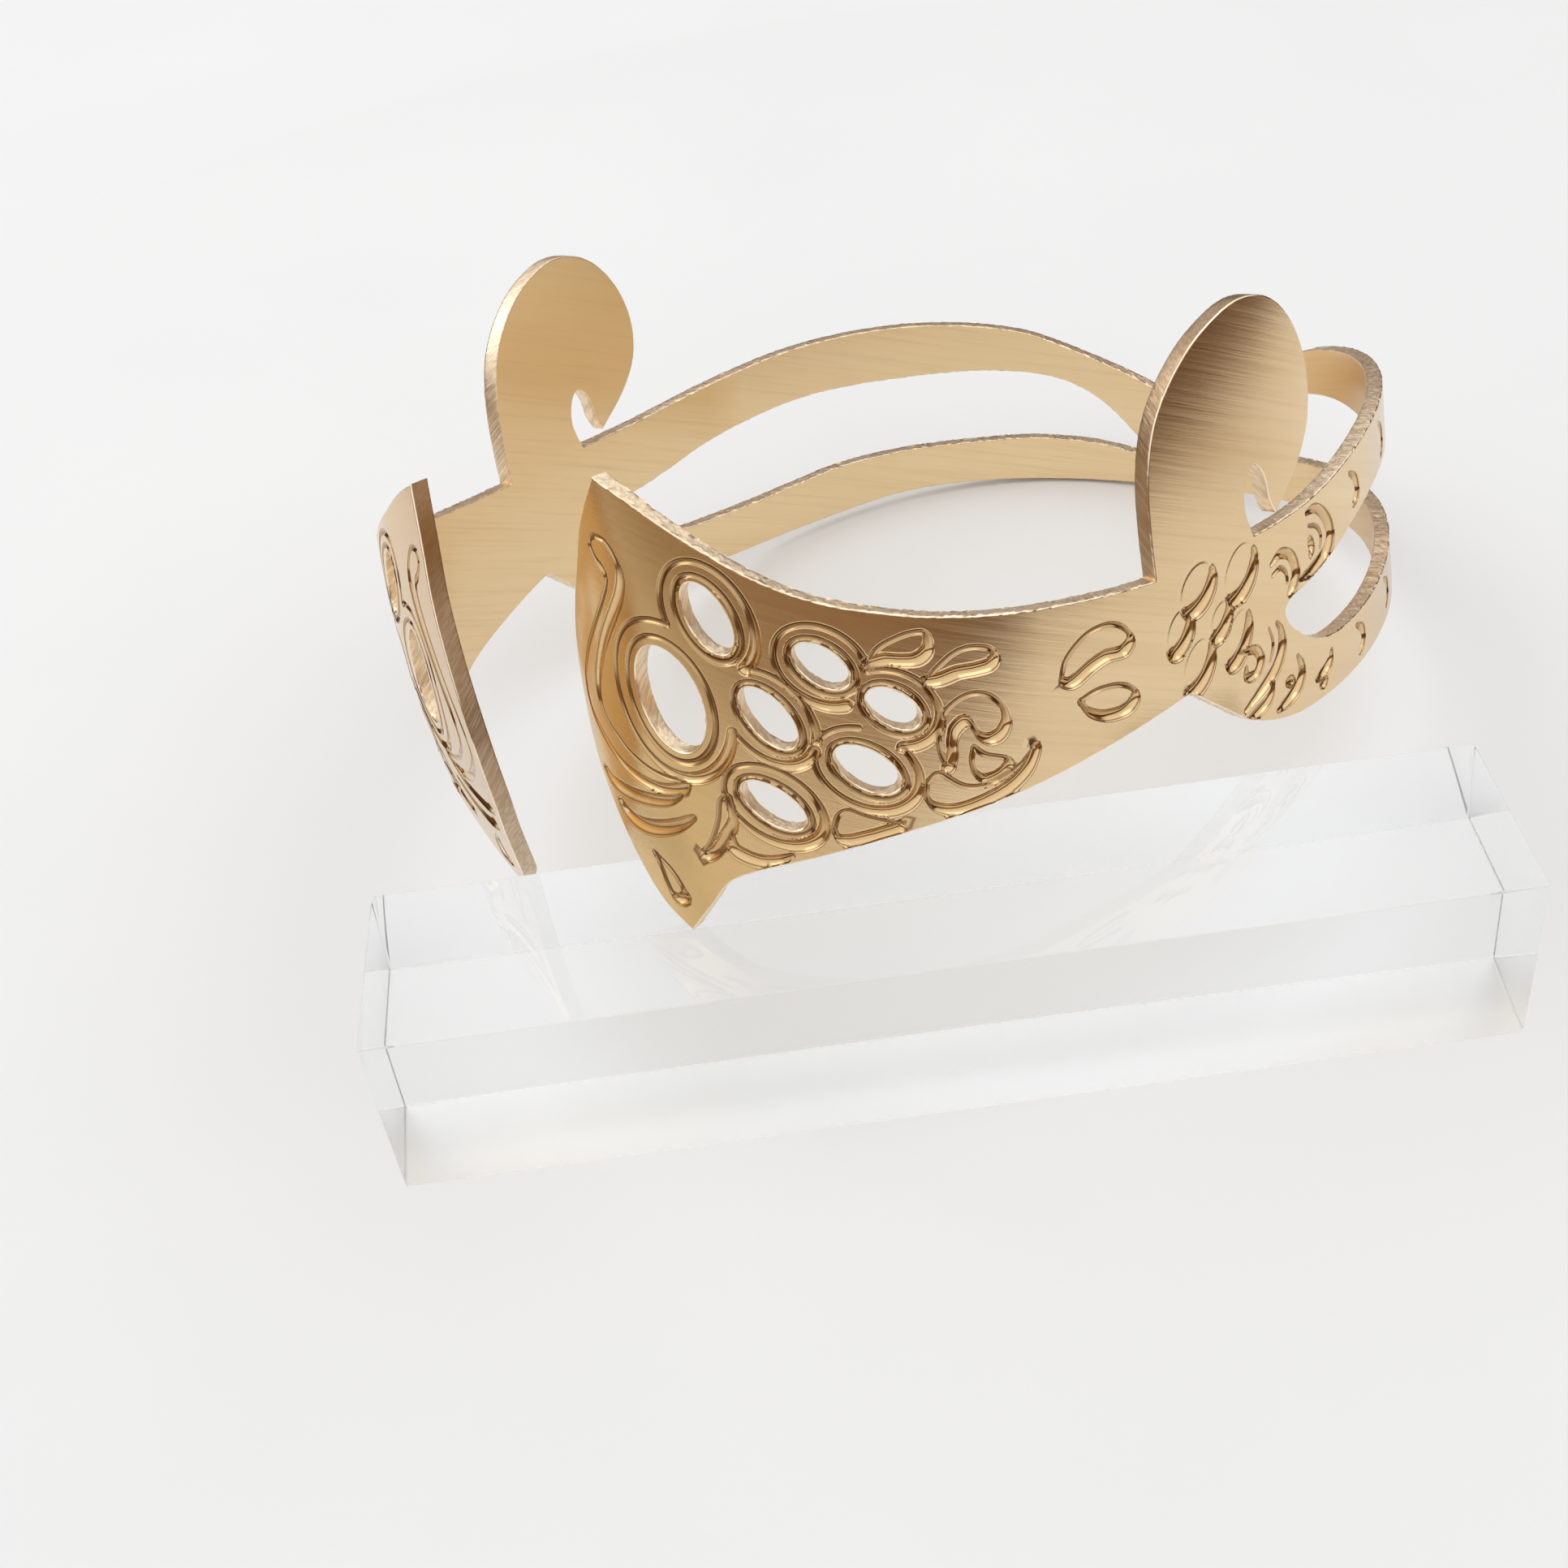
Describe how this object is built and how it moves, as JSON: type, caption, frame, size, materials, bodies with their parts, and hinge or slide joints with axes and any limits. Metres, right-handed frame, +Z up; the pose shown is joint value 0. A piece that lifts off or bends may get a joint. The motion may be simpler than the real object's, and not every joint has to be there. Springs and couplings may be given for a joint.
{
  "type": "costume crown on clear display block",
  "caption": "Open costume crown of bent sheet brass with carved front panels, curled side horns and pierced back rails, propped on a clear display block.",
  "frame": {"origin": "centre of the bounding box, at its bottom, on the surface that the block and the crown's back rail stand on", "axes": "+Z up; -Y to the open front of the crown; +X to the wearer's left half, the right one as seen from the front"},
  "size_m": [0.2185, 0.2499, 0.1119],
  "materials": {
    "sheet_brass": "brushed, with carved lines and rough cut edges",
    "clear_block": "clear polished acrylic"
  },
  "bodies": {
    "root": {"crown": "sheet_brass", "display_block": "clear_block"}
  },
  "joints": []
}
